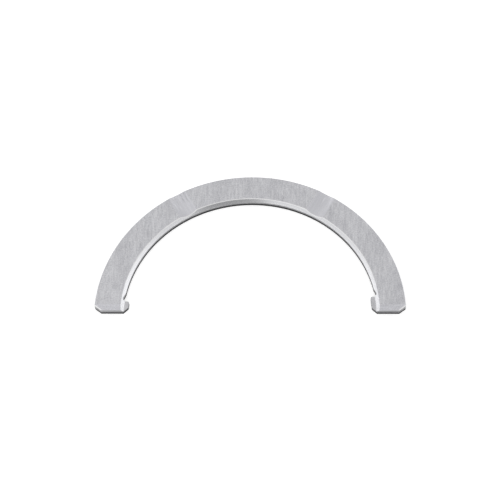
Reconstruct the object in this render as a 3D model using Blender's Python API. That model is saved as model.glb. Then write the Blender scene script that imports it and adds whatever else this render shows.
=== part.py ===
"""Half thrust washer for a crankshaft's main bearing, a single blanked and machined plate.

It lies on its back face at z = 0 with the running face up. The arch points to +Y and the
two ends face -Y. The origin is the middle of the footprint, and all sizes are in metres.
"""

import math

import bmesh
import bpy

# Ring
OUTER_RADIUS = 0.0750
FACE_WIDTH = 0.0139
THICKNESS = 0.0042

# Ends: each stops short of the ring's diameter line, so that two halves never bind
END_SETBACK = 0.0008
OUTER_CUT_ALONG = 0.0032
OUTER_CUT_UP = 0.0024

# Lugs: they stand into the bore at both ends, and their lengths differ so that the
# washer seats one way only
LUG_STAND = 0.0023
LUG_THICKNESS = 0.0025
SHORT_LUG_LENGTH = 0.0055
LONG_LUG_LENGTH = 0.0081
LUG_CUT = 0.0023
LUG_CORNER_RADIUS = 0.0007

# Relief notch beside each lug
NOTCH_DEPTH = 0.0012
NOTCH_LENGTH = 0.0042
NOTCH_ROOT_RADIUS = 0.0012

# Bevel turned at 45 degrees along the inner edge of the running face
BEVEL_WIDTH = 0.0014

# Two shallow oil grooves across the running face, hollowed by a round cutter
GROOVE_ANGLE = math.radians(30)
GROOVE_WIDTH = 0.0094
GROOVE_DEPTH = 0.0008

# Ramp that eases the running face away at each end
RAMP_LENGTH = 0.0031
RAMP_DROP = 0.00025

# What is taken off the rims: a little by tumbling, and more by filing along the corner cuts
FACE_EDGE_BREAK = 0.0002
BACK_EDGE_BREAK = 0.0001
FILED_EDGE_BREAK = 0.0005

# Facets: the round walls and the turned bevel share the same steps
TURN_STEPS = 288
GROOVE_STEPS = 144
CORNER_STEPS = 5

# Share of a step that the first and last facets of a round wall have at least
SHORTEST_FACET = 0.3

# How far a cutter reaches past what it cuts
OVERRUN = 0.004

# Corners of a cut that fall together within this distance become one
WELD = 0.000002

# A face counts as level above this upward share of its normal, and as a wall below the other
LEVEL_SHARE = 0.9
WALL_SHARE = 0.1

# A wall belongs to a corner cut when its normal has this share both outwards and towards -Y
CUT_SHARE = 0.3

# Edges that turn by more than this stay sharp
SHARP_ANGLE = math.radians(20)

STEEL_COLOUR = (0.56, 0.57, 0.59, 1.0)
STEEL_ROUGHNESS = 0.38

BORE_RADIUS = OUTER_RADIUS - FACE_WIDTH
RING_CENTRE_Y = -(OUTER_RADIUS + END_SETBACK) / 2


def clear_scene():
    for item in list(bpy.data.objects):
        bpy.data.objects.remove(item)


def on_circle(radius, height):
    """The point on the right-hand side of a circle about the ring's centre, at a height in Y."""
    return math.sqrt(radius**2 - height**2), height


def unit(start, end):
    length = math.dist(start, end)
    return (end[0] - start[0]) / length, (end[1] - start[1]) / length


def rounded_corner(before, corner, after, radius):
    """Points of the round that joins the lines before-corner and corner-after."""
    to_before = unit(corner, before)
    to_after = unit(corner, after)
    half_angle = math.acos(to_before[0] * to_after[0] + to_before[1] * to_after[1]) / 2
    middle = unit((0, 0), (to_before[0] + to_after[0], to_before[1] + to_after[1]))
    reach = radius / math.sin(half_angle)
    centre = (corner[0] + middle[0] * reach, corner[1] + middle[1] * reach)
    back = math.atan2(-middle[1], -middle[0])
    turn = math.pi / 2 - half_angle
    side = to_before[0] * to_after[1] - to_before[1] * to_after[0]
    sweep = -turn if side > 0 else turn
    points = []
    for i in range(CORNER_STEPS + 1):
        angle = back - sweep + 2 * sweep * i / CORNER_STEPS
        points.append((centre[0] + radius * math.cos(angle), centre[1] + radius * math.sin(angle)))
    return points


def end_outline(lug_length):
    """The right-hand end, from the outer edge round the end face and the lug to the bore."""
    tip_radius = BORE_RADIUS - LUG_STAND
    flank_height = END_SETBACK + lug_length
    outer_side = on_circle(OUTER_RADIUS, END_SETBACK + OUTER_CUT_UP)
    outer_foot = (on_circle(OUTER_RADIUS, END_SETBACK)[0] - OUTER_CUT_ALONG, END_SETBACK)
    lug_foot = (on_circle(tip_radius, END_SETBACK)[0] + LUG_CUT, END_SETBACK)
    lug_side = on_circle(tip_radius, END_SETBACK + LUG_CUT)
    lug_corner = on_circle(tip_radius, flank_height)
    notch_corner = on_circle(BORE_RADIUS + NOTCH_DEPTH, flank_height)
    notch_end = on_circle(BORE_RADIUS, flank_height + NOTCH_LENGTH)
    lug_round = rounded_corner(lug_side, lug_corner, notch_corner, LUG_CORNER_RADIUS)
    notch_round = rounded_corner(lug_corner, notch_corner, notch_end, NOTCH_ROOT_RADIUS)
    return [outer_side, outer_foot, lug_foot, lug_side, *lug_round, *notch_round, notch_end]


def arc_between(right, left):
    """Points at whole turning steps between two points of one circle, from right to left."""
    radius = math.hypot(*right)
    turning_step = 2 * math.pi / TURN_STEPS
    first = math.ceil(math.atan2(right[1], right[0]) / turning_step + SHORTEST_FACET)
    last = math.floor(math.atan2(left[1], left[0]) / turning_step - SHORTEST_FACET)
    angles = [step * turning_step for step in range(first, last + 1)]
    return [(radius * math.cos(angle), radius * math.sin(angle)) for angle in angles]


def washer_outline():
    """The blank's whole outline, anticlockwise from the right-hand outer corner."""
    right = end_outline(LONG_LUG_LENGTH)
    left = [(-x, y) for x, y in end_outline(SHORT_LUG_LENGTH)]
    outer = arc_between(right[0], left[0])
    bore = arc_between(right[-1], left[-1])
    return [*outer, *left, *reversed(bore), *reversed(right)]


def make_object(name, shape):
    """A new object from a bmesh, which is freed."""
    bmesh.ops.recalc_face_normals(shape, faces=shape.faces)
    mesh = bpy.data.meshes.new(name)
    shape.to_mesh(mesh)
    shape.free()
    item = bpy.data.objects.new(name, mesh)
    bpy.context.scene.collection.objects.link(item)
    return item


def prism(name, outline, height):
    """A flat outline of three-part points, pushed out along the vector height."""
    shape = bmesh.new()
    base = shape.faces.new([shape.verts.new(point) for point in outline])
    pushed = bmesh.ops.extrude_face_region(shape, geom=[base])
    moved = [item for item in pushed["geom"] if isinstance(item, bmesh.types.BMVert)]
    bmesh.ops.translate(shape, verts=moved, vec=height)
    return make_object(name, shape)


def blank():
    outline = [(x, y + RING_CENTRE_Y, 0) for x, y in washer_outline()]
    return prism("thrust_washer_half", outline, (0, 0, THICKNESS))


def turned_bevel_cutter():
    """The cone that the lathe takes off: it bevels the inner edge and thins the lugs."""
    depth = THICKNESS - LUG_THICKNESS + OVERRUN
    foot_radius = BORE_RADIUS + BEVEL_WIDTH - (THICKNESS - LUG_THICKNESS)
    shape = bmesh.new()
    bmesh.ops.create_cone(shape, cap_ends=True, segments=TURN_STEPS, radius1=foot_radius,
                          radius2=foot_radius + depth, depth=depth)
    cutter = make_object("turned_bevel_cutter", shape)
    cutter.location = (0, RING_CENTRE_Y, LUG_THICKNESS + depth / 2)
    return cutter


def groove_cutter(side):
    """A round cutter whose axis lies along the radius, side -1 on the left and 1 on the right."""
    cutter_radius = (GROOVE_WIDTH**2 / 4 + GROOVE_DEPTH**2) / (2 * GROOVE_DEPTH)
    middle = (OUTER_RADIUS + BORE_RADIUS) / 2
    heading = math.pi / 2 - side * GROOVE_ANGLE
    shape = bmesh.new()
    bmesh.ops.create_cone(shape, cap_ends=True, segments=GROOVE_STEPS, radius1=cutter_radius,
                          radius2=cutter_radius, depth=OUTER_RADIUS - BORE_RADIUS + 2 * OVERRUN)
    cutter = make_object("oil_groove_cutter", shape)
    cutter.location = (middle * math.cos(heading), middle * math.sin(heading) + RING_CENTRE_Y,
                       THICKNESS - GROOVE_DEPTH + cutter_radius)
    cutter.rotation_euler = (0, math.pi / 2, heading)
    return cutter


def ramp_cutter():
    """A wedge across both ends, whose underside slopes down towards the end faces."""
    slope = RAMP_DROP / RAMP_LENGTH
    near = RING_CENTRE_Y + END_SETBACK - OVERRUN
    far = RING_CENTRE_Y + END_SETBACK + RAMP_LENGTH + OVERRUN
    left = -OUTER_RADIUS - OVERRUN
    top = THICKNESS + OVERRUN
    outline = [(left, near, THICKNESS - RAMP_DROP - slope * OVERRUN),
               (left, far, THICKNESS + slope * OVERRUN),
               (left, far, top),
               (left, near, top)]
    return prism("ramp_cutter", outline, (-2 * left, 0, 0))


def cut_away(piece, cutters):
    """Takes the cutters out of the piece, after the modifiers it has, and clears them away."""
    for cutter in cutters:
        cutter.hide_render = True
        cutter.display_type = "WIRE"
        modifier = piece.modifiers.new(cutter.name, "BOOLEAN")
        modifier.operation = "DIFFERENCE"
        modifier.solver = "EXACT"
        modifier.object = cutter
    bpy.context.view_layer.update()
    evaluated = piece.evaluated_get(bpy.context.evaluated_depsgraph_get())
    shape = bmesh.new()
    shape.from_mesh(evaluated.data)
    bmesh.ops.remove_doubles(shape, verts=shape.verts, dist=WELD)
    shape.to_mesh(piece.data)
    shape.free()
    piece.modifiers.clear()
    for cutter in cutters:
        bpy.data.objects.remove(cutter)


def edge_break(edge):
    """What an edge loses: nothing, unless a level face meets an upright wall there."""
    wall, level = sorted(edge.link_faces, key=lambda face: abs(face.normal.z))
    if abs(wall.normal.z) > WALL_SHARE or abs(level.normal.z) < LEVEL_SHARE:
        return 0
    if level.normal.z < 0:
        return BACK_EDGE_BREAK
    outwards = wall.normal.x if edge.verts[0].co.x > 0 else -wall.normal.x
    if outwards > CUT_SHARE and wall.normal.y < -CUT_SHARE:
        return FILED_EDGE_BREAK
    return FACE_EDGE_BREAK


def break_edges(piece):
    """Gives the piece a bevel along both rims, whose width each edge's weight sets."""
    widest = max(FACE_EDGE_BREAK, BACK_EDGE_BREAK, FILED_EDGE_BREAK)
    shape = bmesh.new()
    shape.from_mesh(piece.data)
    shape.normal_update()
    weight = shape.edges.layers.float.new("bevel_weight_edge")
    for edge in shape.edges:
        edge[weight] = edge_break(edge) / widest
    shape.to_mesh(piece.data)
    shape.free()
    modifier = piece.modifiers.new("broken_edges", "BEVEL")
    modifier.width = widest
    modifier.limit_method = "WEIGHT"
    modifier.use_clamp_overlap = False


def steel():
    material = bpy.data.materials.new("machined_steel")
    material.use_nodes = True
    shader = material.node_tree.nodes["Principled BSDF"]
    shader.inputs["Base Color"].default_value = STEEL_COLOUR
    shader.inputs["Roughness"].default_value = STEEL_ROUGHNESS
    shader.inputs["Metallic"].default_value = 1.0
    return material


def finish(piece):
    piece.data.name = piece.name
    piece.data.materials.clear()
    piece.data.materials.append(steel())
    piece.data.shade_smooth()
    piece.data.set_sharp_from_angle(angle=SHARP_ANGLE)


clear_scene()
washer = blank()
cut_away(washer, [ramp_cutter()])
break_edges(washer)
cut_away(washer, [groove_cutter(-1), groove_cutter(1), turned_bevel_cutter()])
finish(washer)
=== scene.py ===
"""Looks of a half thrust washer: fine edges and machined steel, lying on a white ground."""

import math

import bpy
from mathutils import Matrix, Vector


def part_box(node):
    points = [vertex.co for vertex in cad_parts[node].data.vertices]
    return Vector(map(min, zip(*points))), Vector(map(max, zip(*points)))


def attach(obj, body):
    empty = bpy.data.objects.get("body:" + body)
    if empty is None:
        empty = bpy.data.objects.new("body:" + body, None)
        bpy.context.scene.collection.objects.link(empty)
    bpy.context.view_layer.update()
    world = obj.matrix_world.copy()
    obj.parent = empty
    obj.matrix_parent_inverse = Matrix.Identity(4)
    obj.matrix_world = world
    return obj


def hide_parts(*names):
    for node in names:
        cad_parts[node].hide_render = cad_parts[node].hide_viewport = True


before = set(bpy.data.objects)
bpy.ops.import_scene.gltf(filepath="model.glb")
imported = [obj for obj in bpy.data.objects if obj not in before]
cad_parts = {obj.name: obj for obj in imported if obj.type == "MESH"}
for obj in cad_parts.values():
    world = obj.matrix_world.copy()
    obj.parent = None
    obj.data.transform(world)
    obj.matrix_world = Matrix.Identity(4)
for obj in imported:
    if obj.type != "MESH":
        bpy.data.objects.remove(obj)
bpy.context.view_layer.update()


# Half washer
# One flat plate of steel, blanked to its outline and ground along its length on both faces.
# A lathe has turned the bevel and thinned the lugs, and a round cutter has hollowed the
# two oil grooves. Tumbling has left its edges a little soft.

OUTER_RADIUS = 0.075
BORE_RADIUS = 0.0611
BEVEL_WIDTH = 0.0014
LUG_TOP = 0.0025
RAMP_LENGTH = 0.0031
GROOVE_ANGLE = math.radians(30)
GROOVE_HALF_WIDTH = 0.0047

SAME_CORNER = 0.000001
SAME_PLANE = math.radians(0.3)

washer_low, washer_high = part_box("thrust_washer_half")
ring_centre = Vector((0, washer_high.y - OUTER_RADIUS, 0))

bpy.ops.object.select_all(action="DESELECT")
washer = bpy.data.objects.new("half_washer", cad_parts["thrust_washer_half"].data.copy())
bpy.context.scene.collection.objects.link(washer)
bpy.context.view_layer.objects.active = washer
washer.select_set(True)
bpy.ops.mesh.customdata_custom_splitnormals_clear()
bpy.ops.object.mode_set(mode="EDIT")
bpy.ops.mesh.select_all(action="SELECT")
bpy.ops.mesh.remove_doubles(threshold=SAME_CORNER)
bpy.ops.mesh.dissolve_limited(angle_limit=SAME_PLANE)
bpy.ops.object.mode_set(mode="OBJECT")

# Parts of a unit normal that tell the plate's surfaces apart
UPRIGHT_BELOW = 0.1
SLOPED_BELOW = 0.9
LEVEL_ABOVE = 0.99
HOLLOW_BELOW = 0.99999
CORNER_TO_END = 0.3
CORNER_TO_SIDE = 0.2


def surface_of(face):
    """Which surface of the plate a face belongs to, by its place and its normal."""
    from_ring = face.center - ring_centre
    radius = math.hypot(from_ring.x, from_ring.y)
    across_groove = radius * math.sin(math.atan2(abs(from_ring.x), from_ring.y) - GROOVE_ANGLE)
    faces_ring_centre = face.normal.x * from_ring.x + face.normal.y * from_ring.y < 0
    if face.normal.z < -LEVEL_ABOVE:
        return "back"
    if abs(face.normal.z) < UPRIGHT_BELOW:
        return "wall"
    if face.normal.z > LEVEL_ABOVE and face.center.z < (LUG_TOP + washer_high.z) / 2:
        return "lug_top"
    if face.normal.z < SLOPED_BELOW:
        if faces_ring_centre and radius < BORE_RADIUS + BEVEL_WIDTH and face.center.z > LUG_TOP:
            return "turned"
        on_corner = face.normal.y < -CORNER_TO_END and abs(face.normal.x) > CORNER_TO_SIDE
        return "filed" if on_corner and not faces_ring_centre and face.normal.z > 0 else "tumbled"
    if abs(across_groove) < GROOVE_HALF_WIDTH and face.normal.z < HOLLOW_BELOW:
        return "groove"
    if face.center.y < washer_low.y + RAMP_LENGTH:
        return "ramp"
    return "running"


def node(tree, kind, inputs, **settings):
    """A new shader node. Each of its inputs gets a value, or a link from another node's output."""
    made = tree.nodes.new("ShaderNode" + kind)
    for name, value in settings.items():
        setattr(made, name, value)
    for name, value in inputs.items():
        if isinstance(value, bpy.types.NodeSocket):
            tree.links.new(value, made.inputs[name])
        else:
            made.inputs[name].default_value = value
    return made


def new_group(name, inputs, outputs):
    """An empty node group whose sockets have the given names and types."""
    group = bpy.data.node_groups.new(name, "ShaderNodeTree")
    for socket, kind in inputs.items():
        group.interface.new_socket(socket, in_out="INPUT", socket_type="NodeSocket" + kind)
    for socket, kind in outputs.items():
        group.interface.new_socket(socket, in_out="OUTPUT", socket_type="NodeSocket" + kind)
    return group, group.nodes.new("NodeGroupInput").outputs, group.nodes.new("NodeGroupOutput").inputs


# Machining marks: X of the vector runs across the marks and Y along them, in metres
BAND_SCALE = 0.15
CLOUD_SCALE = 260.0
SPECK_SCALE = 1600.0
MIDDLE_TONE = 0.5
LINE_SHARE = 1.9
BAND_SHARE = 0.7
CLOUD_SHARE = 0.35

marks, given, wanted = new_group(
    "machining_marks",
    {"Vector": "Vector", "Pitch": "Float", "Length": "Float", "Speckle": "Float"},
    {"Tone": "Float", "Lines": "Float"})
pitch_scale = node(marks, "Math", {0: 1.0, 1: given["Pitch"]}, operation="DIVIDE")
length_scale = node(marks, "Math", {0: 1.0, 1: given["Length"]}, operation="DIVIDE")
stretch = node(marks, "CombineXYZ", {"X": pitch_scale.outputs[0], "Y": length_scale.outputs[0],
                                     "Z": pitch_scale.outputs[0]})
stretched = node(marks, "VectorMath", {0: given["Vector"], 1: stretch.outputs[0]}, operation="MULTIPLY")
lines = node(marks, "TexNoise", {"Vector": stretched.outputs[0], "Scale": 1.0, "Detail": 4.0,
                                 "Roughness": 0.75})
bands = node(marks, "TexNoise", {"Vector": stretched.outputs[0], "Scale": BAND_SCALE, "Detail": 1.0})
clouds = node(marks, "TexNoise", {"Vector": given["Vector"], "Scale": CLOUD_SCALE, "Detail": 3.0})
specks = node(marks, "TexNoise", {"Vector": given["Vector"], "Scale": SPECK_SCALE, "Detail": 1.0})
shares = ((lines, LINE_SHARE), (bands, BAND_SHARE), (clouds, CLOUD_SHARE), (specks, given["Speckle"]))
tone = MIDDLE_TONE
for noise, share in shares:
    swing = node(marks, "Math", {0: noise.outputs["Fac"], 1: MIDDLE_TONE}, operation="SUBTRACT")
    added = node(marks, "Math", {0: swing.outputs[0], 1: share, 2: tone}, operation="MULTIPLY_ADD")
    tone = added.outputs[0]
marks.links.new(tone, wanted["Tone"])
marks.links.new(lines.outputs["Fac"], wanted["Lines"])

# Round the ring: radius, length along the arc and height of each point, in metres
round_ring, given, wanted = new_group(
    "round_the_ring", {"Vector": "Vector"}, {"Radius": "Float", "Arc": "Float", "Height": "Float"})
centred = node(round_ring, "VectorMath", {0: given["Vector"], 1: ring_centre}, operation="SUBTRACT")
parts = node(round_ring, "SeparateXYZ", {0: centred.outputs[0]})
flat = node(round_ring, "CombineXYZ", {"X": parts.outputs["X"], "Y": parts.outputs["Y"]})
radius = node(round_ring, "VectorMath", {0: flat.outputs[0]}, operation="LENGTH")
angle = node(round_ring, "Math", {0: parts.outputs["X"], 1: parts.outputs["Y"]}, operation="ARCTAN2")
arc = node(round_ring, "Math", {0: angle.outputs[0], 1: OUTER_RADIUS}, operation="MULTIPLY")
round_ring.links.new(radius.outputs["Value"], wanted["Radius"])
round_ring.links.new(arc.outputs[0], wanted["Arc"])
round_ring.links.new(parts.outputs["Z"], wanted["Height"])

# Between these values of their noise, the lines go from rough to smooth
ROUGH_LINE = 0.3
SMOOTH_LINE = 0.7


def steel(name, across, along, pitch, length, speckle, dark, light, smooth, rough, depth):
    """A machined steel whose marks run along one of the named directions of the plate."""
    material = bpy.data.materials.new(name)
    material.use_nodes = True
    tree = material.node_tree
    place = node(tree, "TexCoord", {}).outputs["Object"]
    ring = node(tree, "Group", {}, node_tree=round_ring)
    tree.links.new(place, ring.inputs["Vector"])
    xyz = node(tree, "SeparateXYZ", {0: place})
    ways = {"X": xyz.outputs["X"], "Y": xyz.outputs["Y"], "Radius": ring.outputs["Radius"],
            "Arc": ring.outputs["Arc"], "Height": ring.outputs["Height"]}
    vector = node(tree, "CombineXYZ", {"X": ways[across], "Y": ways[along]})
    grain = node(tree, "Group", {}, node_tree=marks)
    tree.links.new(vector.outputs[0], grain.inputs["Vector"])
    grain.inputs["Pitch"].default_value = pitch
    grain.inputs["Length"].default_value = length
    grain.inputs["Speckle"].default_value = speckle
    colour = node(tree, "Mix", {"Factor": grain.outputs["Tone"], "A": dark, "B": light}, data_type="RGBA")
    shine = node(tree, "MapRange", {"Value": grain.outputs["Lines"], "From Min": ROUGH_LINE,
                                    "From Max": SMOOTH_LINE, "To Min": rough, "To Max": smooth})
    bump = node(tree, "Bump", {"Height": grain.outputs["Lines"], "Distance": depth, "Strength": 1.0})
    shader = tree.nodes["Principled BSDF"]
    shader.inputs["Metallic"].default_value = 1.0
    tree.links.new(colour.outputs["Result"], shader.inputs["Base Color"])
    tree.links.new(shine.outputs[0], shader.inputs["Roughness"])
    tree.links.new(bump.outputs[0], shader.inputs["Normal"])
    return material


FACE_COOL = (0.42, 0.42, 0.445, 1)
FACE_PALE = (0.66, 0.66, 0.68, 1)
HOLLOW_COOL = (0.535, 0.535, 0.565, 1)
HOLLOW_PALE = (0.625, 0.625, 0.655, 1)
RAMP_COOL = (0.46, 0.46, 0.49, 1)
RAMP_PALE = (0.66, 0.66, 0.69, 1)
# The turned bevel's tone is paler than the faces', partly as painted reflection, so that the bright room it
# mirrors shows whiter.
TURNED_AND_SHEEN_COOL = (0.60, 0.605, 0.63, 1)
TURNED_AND_SHEEN_PALE = (0.71, 0.71, 0.72, 1)
LUG_COOL = (0.42, 0.42, 0.44, 1)
LUG_PALE = (0.60, 0.60, 0.615, 1)
# The filed corner cuts' pale tone is partly painted highlight, for the bright line along their top edge.
FILED_AND_HIGHLIGHT_COOL = (0.76, 0.76, 0.77, 1)
FILED_AND_HIGHLIGHT_PALE = (0.86, 0.86, 0.86, 1)
# The worn edge's pale tone is partly real wear and partly painted highlight, for the bright line along the
# bevel's upper rim.
WORN_AND_HIGHLIGHT_COOL = (0.70, 0.70, 0.71, 1)
WORN_AND_HIGHLIGHT_PALE = (0.82, 0.82, 0.82, 1)
# The walls' dark grey is partly the blanked steel's own dull tone and partly painted shade, for the shaded
# ground that they mirror.
SCALE_AND_SHADE_GREY = (0.21, 0.21, 0.22, 1)
SCALE_AND_SHADE_PALE = (0.31, 0.31, 0.32, 1)

finishes = {
    "running": steel("ground_face", across="X", along="Y", pitch=0.0009, length=0.0065, speckle=1.4,
                     dark=FACE_COOL, light=FACE_PALE, smooth=0.3, rough=0.42, depth=0.000004),
    "back": steel("ground_back", across="X", along="Y", pitch=0.0009, length=0.0065, speckle=1.4,
                  dark=FACE_COOL, light=FACE_PALE, smooth=0.32, rough=0.45, depth=0.000004),
    "turned": steel("turned_bevel_and_sheen", across="Radius", along="Arc", pitch=0.0002, length=0.03, speckle=1.6,
                    dark=TURNED_AND_SHEEN_COOL, light=TURNED_AND_SHEEN_PALE, smooth=0.16, rough=0.26, depth=0.000002),
    "groove": steel("milled_groove", across="Arc", along="Radius", pitch=0.0012, length=0.03, speckle=1.2,
                    dark=HOLLOW_COOL, light=HOLLOW_PALE, smooth=0.26, rough=0.34, depth=0.000002),
    "ramp": steel("milled_ramp", across="Y", along="X", pitch=0.0006, length=0.01, speckle=1.6,
                  dark=RAMP_COOL, light=RAMP_PALE, smooth=0.26, rough=0.34, depth=0.000002),
    "wall": steel("blanked_wall_and_shade", across="Arc", along="Height", pitch=0.0004, length=0.006, speckle=2.0,
                  dark=SCALE_AND_SHADE_GREY, light=SCALE_AND_SHADE_PALE, smooth=0.3, rough=0.42, depth=0.000006),
    "lug_top": steel("turned_lug_top", across="Radius", along="Arc", pitch=0.0006, length=0.01, speckle=1.6,
                     dark=LUG_COOL, light=LUG_PALE, smooth=0.28, rough=0.38, depth=0.000002),
    "filed": steel("filed_and_highlit_corner", across="Height", along="Arc", pitch=0.0003, length=0.003, speckle=0.8,
                   dark=FILED_AND_HIGHLIGHT_COOL, light=FILED_AND_HIGHLIGHT_PALE, smooth=0.2, rough=0.3, depth=0.000001),
    "tumbled": steel("tumbled_rim", across="Height", along="Arc", pitch=0.0003, length=0.003, speckle=0.8,
                     dark=FACE_COOL, light=FACE_PALE, smooth=0.26, rough=0.36, depth=0.000001),
    "worn": steel("worn_and_highlit_edge", across="Height", along="Arc", pitch=0.0003, length=0.003, speckle=0.8,
                  dark=WORN_AND_HIGHLIGHT_COOL, light=WORN_AND_HIGHLIGHT_PALE, smooth=0.2, rough=0.3, depth=0.000001),
}

# The punch's tear has left the wall's lowest part rough. Its near-black colour is painted shade, for the
# dark line where the wall meets the ground.
FOOT_SHADE_GREY = (0.02, 0.02, 0.021, 1)
TORN_ROUGHNESS = 0.55
FOOT_SHADE_SPECULAR = 0.15
FOOT_BAND_TOP = 0.0017
FOOT_BAND_BLUR = 0.0002
FOOT_BAND_RAGGEDNESS = 900.0

wall = finishes["wall"].node_tree
shader = wall.nodes["Principled BSDF"]
place = node(wall, "TexCoord", {}).outputs["Object"]
height = node(wall, "SeparateXYZ", {0: place}).outputs["Z"]
ragged = node(wall, "TexNoise", {"Vector": place, "Scale": FOOT_BAND_RAGGEDNESS, "Detail": 2.0})
wave = node(wall, "Math", {0: ragged.outputs["Fac"], 1: -2 * FOOT_BAND_BLUR, 2: height}, operation="MULTIPLY_ADD")
torn_and_shade = node(wall, "MapRange", {"Value": wave.outputs[0], "From Min": FOOT_BAND_TOP - 2 * FOOT_BAND_BLUR,
                               "From Max": FOOT_BAND_TOP, "To Min": 1.0, "To Max": 0.0},
            interpolation_type="SMOOTHSTEP")
# The mask mixes in painted shade at the foot: a near-black colour, rough, not metal and with little
# specular.
clean_colour = shader.inputs["Base Color"].links[0].from_socket
clean_roughness = shader.inputs["Roughness"].links[0].from_socket
colour = node(wall, "Mix", {"Factor": torn_and_shade.outputs[0], "A": clean_colour, "B": FOOT_SHADE_GREY}, data_type="RGBA")
roughness = node(wall, "Mix", {"Factor": torn_and_shade.outputs[0], "A": clean_roughness, "B": TORN_ROUGHNESS},
                 data_type="FLOAT")
metal = node(wall, "Math", {0: 1.0, 1: torn_and_shade.outputs[0]}, operation="SUBTRACT")
shader.inputs["Specular IOR Level"].default_value = FOOT_SHADE_SPECULAR
wall.links.new(colour.outputs["Result"], shader.inputs["Base Color"])
wall.links.new(roughness.outputs["Result"], shader.inputs["Roughness"])
wall.links.new(metal.outputs[0], shader.inputs["Metallic"])

washer.data.materials.clear()
for finish in finishes.values():
    washer.data.materials.append(finish)
for face in washer.data.polygons:
    face.material_index = list(finishes).index(surface_of(face))
    face.use_smooth = True

# The bevel's upper edge is worn, and the other edges are only a little soft. The worn rounding takes the
# worn finish, whose pale tone is partly painted highlight.
WORN_EDGE = 0.00025
WORN_EDGE_STEPS = 3
CRISP_END = math.radians(6)
WORN_FROM = math.radians(24)
SOFT_EDGE = 0.0001
SOFT_EDGE_STEPS = 3
SMALLEST_WEAR = SOFT_EDGE / WORN_EDGE
BROKEN_SOFTNESS = 0.4
SHARP_ANGLE = math.radians(28)


def round_edges(share_of, width, steps, finish=None):
    """Rounds each edge by the share of the width that a rule gives it, in its faces' finish or its own."""
    beside = {}
    for face in washer.data.polygons:
        for key in face.edge_keys:
            beside.setdefault(key, []).append(face)
    weights = washer.data.attributes.new("bevel_weight_edge", "FLOAT", "EDGE")
    for edge in washer.data.edges:
        ends = [washer.data.vertices[index].co for index in edge.vertices]
        weights.data[edge.index].value = share_of((ends[0] + ends[1]) / 2, beside[edge.key])
    bpy.ops.object.modifier_add(type="BEVEL")
    rounding = washer.modifiers["Bevel"]
    rounding.width = width
    rounding.segments = steps
    rounding.limit_method = "WEIGHT"
    rounding.material = list(finishes).index(finish) if finish else -1
    rounding.use_clamp_overlap = False
    bpy.ops.object.modifier_apply(modifier="Bevel")
    washer.data.attributes.remove(washer.data.attributes["bevel_weight_edge"])


def wear_of_bevel_rim(middle, faces):
    """The bevel's upper edge is worn, less and less towards the arch's ends, down to a soft edge's width."""
    meeting = {surface_of(face) for face in faces}
    if "turned" not in meeting or not meeting & {"running", "groove", "ramp"}:
        return 0.0
    from_ring = middle - ring_centre
    from_end = math.atan2(from_ring.y, abs(from_ring.x))
    share = min((from_end - CRISP_END) / (WORN_FROM - CRISP_END), 1.0)
    return share if share > SMALLEST_WEAR else 0.0


def softness_of_edge(middle, faces):
    """Edges are a little soft, those of broken rims and end faces and the bevel's foot on a lug less."""
    meeting = {surface_of(face) for face in faces}
    if "groove" in meeting or faces[0].normal.angle(faces[1].normal) < SHARP_ANGLE:
        return 0.0
    on_lug = meeting == {"turned", "lug_top"}
    at_end = middle.y < washer_low.y + SOFT_EDGE
    return BROKEN_SOFTNESS if on_lug or at_end or "tumbled" in meeting else 1.0


round_edges(wear_of_bevel_rim, WORN_EDGE, WORN_EDGE_STEPS, "worn")
round_edges(softness_of_edge, SOFT_EDGE, SOFT_EDGE_STEPS)
bpy.ops.object.modifier_add(type="WEIGHTED_NORMAL")
washer.modifiers["WeightedNormal"].keep_sharp = True
bpy.ops.object.modifier_apply(modifier="WeightedNormal")

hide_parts("thrust_washer_half")
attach(washer, "root")


# Ground
# A sheet of matt white board under the washer, so wide that it fills every view. Its glow is
# seen by the camera and in reflections and lights nothing, and the washer's shadow stays on it.

BOARD_HALF_SIZE = 3.0
BOARD_WHITE = (0.8, 0.8, 0.8, 1)
BOARD_GLOW = 0.5

bpy.ops.object.select_all(action="DESELECT")
bpy.ops.mesh.primitive_grid_add(x_subdivisions=2, y_subdivisions=2, size=2 * BOARD_HALF_SIZE)
ground = bpy.context.active_object
ground.name = "ground"
board = bpy.data.materials.new("white_board")
board.use_nodes = True
shader = board.node_tree.nodes["Principled BSDF"]
shader.inputs["Base Color"].default_value = BOARD_WHITE
shader.inputs["Roughness"].default_value = 1.0
shader.inputs["Specular IOR Level"].default_value = 0.0
shader.inputs["Emission Color"].default_value = (1, 1, 1, 1)
paths = node(board.node_tree, "LightPath", {})
mirrored = node(board.node_tree, "Math", {0: paths.outputs["Is Glossy Ray"],
                                          1: paths.outputs["Is Transmission Ray"]}, operation="MAXIMUM")
seen = node(board.node_tree, "Math", {0: paths.outputs["Is Camera Ray"], 1: mirrored.outputs[0]},
            operation="MAXIMUM")
glow = node(board.node_tree, "Math", {0: seen.outputs[0], 1: BOARD_GLOW}, operation="MULTIPLY")
board.node_tree.links.new(glow.outputs[0], shader.inputs["Emission Strength"])
ground.data.materials.append(board)


# Light
# A white room, a little brighter in front and on the upper left, and brightest low down on its
# walls. A window stands at the right. The camera stands in a darker gap of the wall, which the
# bevel mirrors at the top of the arch.

ROOM_LIGHT = 0.95
FRONT_SHARE = 0.08
LOW_LIGHT = 0.45
LOW_CORE = 0.18
LOW_EDGE = 0.36
LAMP_SIDE = 0.2
LAMP_SHARE = 0.065
WINDOW_DIRECTION = Vector((0.97, -0.05, 0.22)).normalized()
WINDOW_LIGHT = 0.22
GAP_DIRECTION = Vector((0.20, -0.86, 0.47)).normalized()
GAP_DEPTH = 0.55
SPOT_EDGE = math.cos(math.radians(28))
SPOT_CORE = math.cos(math.radians(11))

world = bpy.data.worlds.new("white_room")
bpy.context.scene.world = world
world.use_nodes = True
room = world.node_tree
direction = node(room, "TexCoord", {}).outputs["Generated"]
heading = node(room, "SeparateXYZ", {0: direction})


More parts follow.
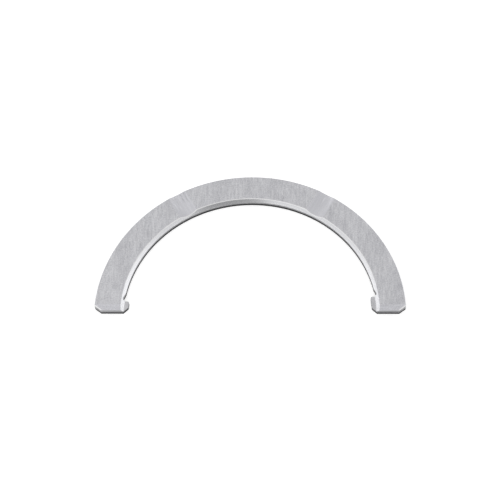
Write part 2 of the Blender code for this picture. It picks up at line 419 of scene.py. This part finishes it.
def soft_spot(towards, strength):
    """A round spot of the room, of full strength in its core and fading out to its edge."""
    nearness = node(room, "VectorMath", {0: direction, 1: towards}, operation="DOT_PRODUCT")
    spot = node(room, "MapRange", {"Value": nearness.outputs["Value"], "From Min": SPOT_EDGE,
                                   "From Max": SPOT_CORE, "To Min": 0.0, "To Max": strength},
                interpolation_type="SMOOTHSTEP")
    return spot.outputs[0]


slope = node(room, "Math", {0: heading.outputs["Y"], 1: -FRONT_SHARE, 2: ROOM_LIGHT},
             operation="MULTIPLY_ADD")
low = node(room, "MapRange", {"Value": heading.outputs["Z"], "From Min": LOW_CORE, "From Max": LOW_EDGE,
                              "To Min": LOW_LIGHT, "To Max": 0.0}, interpolation_type="SMOOTHSTEP")
wall_light = node(room, "Math", {0: slope.outputs[0], 1: low.outputs[0]}, operation="ADD")
lamp = node(room, "MapRange", {"Value": heading.outputs["X"], "From Min": -LAMP_SIDE, "From Max": LAMP_SIDE,
                               "To Min": LAMP_SHARE, "To Max": -LAMP_SHARE},
            interpolation_type="SMOOTHSTEP")
overhead = node(room, "Math", {0: heading.outputs["Z"], 1: 0.0}, operation="MAXIMUM")
lamp_light = node(room, "Math", {0: lamp.outputs[0], 1: overhead.outputs[0], 2: wall_light.outputs[0]},
                  operation="MULTIPLY_ADD")
window = soft_spot(WINDOW_DIRECTION, WINDOW_LIGHT)
with_window = node(room, "Math", {0: lamp_light.outputs[0], 1: window}, operation="ADD")
gap = soft_spot(GAP_DIRECTION, GAP_DEPTH)
room_light = node(room, "Math", {0: with_window.outputs[0], 1: gap}, operation="SUBTRACT")
camera_ray = node(room, "LightPath", {}).outputs["Is Camera Ray"]
shown = node(room, "Mix", {"Factor": camera_ray, "A": room_light.outputs[0], "B": 1.0}, data_type="FLOAT")
background = room.nodes["Background"]
background.inputs["Color"].default_value = (1, 1, 1, 1)
room.links.new(shown.outputs["Result"], background.inputs["Strength"])


# Camera
# A long lens looks down on the open side of the arch, as the photograph does. It stands a
# little to the right and is rolled a little, because the arch lies slightly askew there.

CAMERA_AIM = Vector((-0.00052, -0.00211, 0))
CAMERA_DISTANCE = 0.8369
CAMERA_ELEVATION = math.radians(61.71)
CAMERA_TURN = math.radians(4.3)
CAMERA_ROLL = math.radians(-3.82)
CAMERA_LENS = 122.49
CAMERA_FILM_WIDTH = 36
CAMERA_NEAREST = 0.01

camera = bpy.data.objects.new("camera", bpy.data.cameras.new("camera"))
bpy.context.scene.collection.objects.link(camera)
camera.data.lens = CAMERA_LENS
camera.data.sensor_width = CAMERA_FILM_WIDTH
camera.data.clip_start = CAMERA_NEAREST
back = Vector((math.sin(CAMERA_TURN), -math.cos(CAMERA_TURN), 0)) * math.cos(CAMERA_ELEVATION)
back.z = math.sin(CAMERA_ELEVATION)
turn = (-back).to_track_quat("-Z", "Y").to_matrix() @ Matrix.Rotation(CAMERA_ROLL, 3, "Z")
camera.matrix_world = Matrix.Translation(CAMERA_AIM + back * CAMERA_DISTANCE) @ turn.to_4x4()
bpy.context.scene.camera = camera
bpy.context.scene.view_settings.view_transform = "Standard"
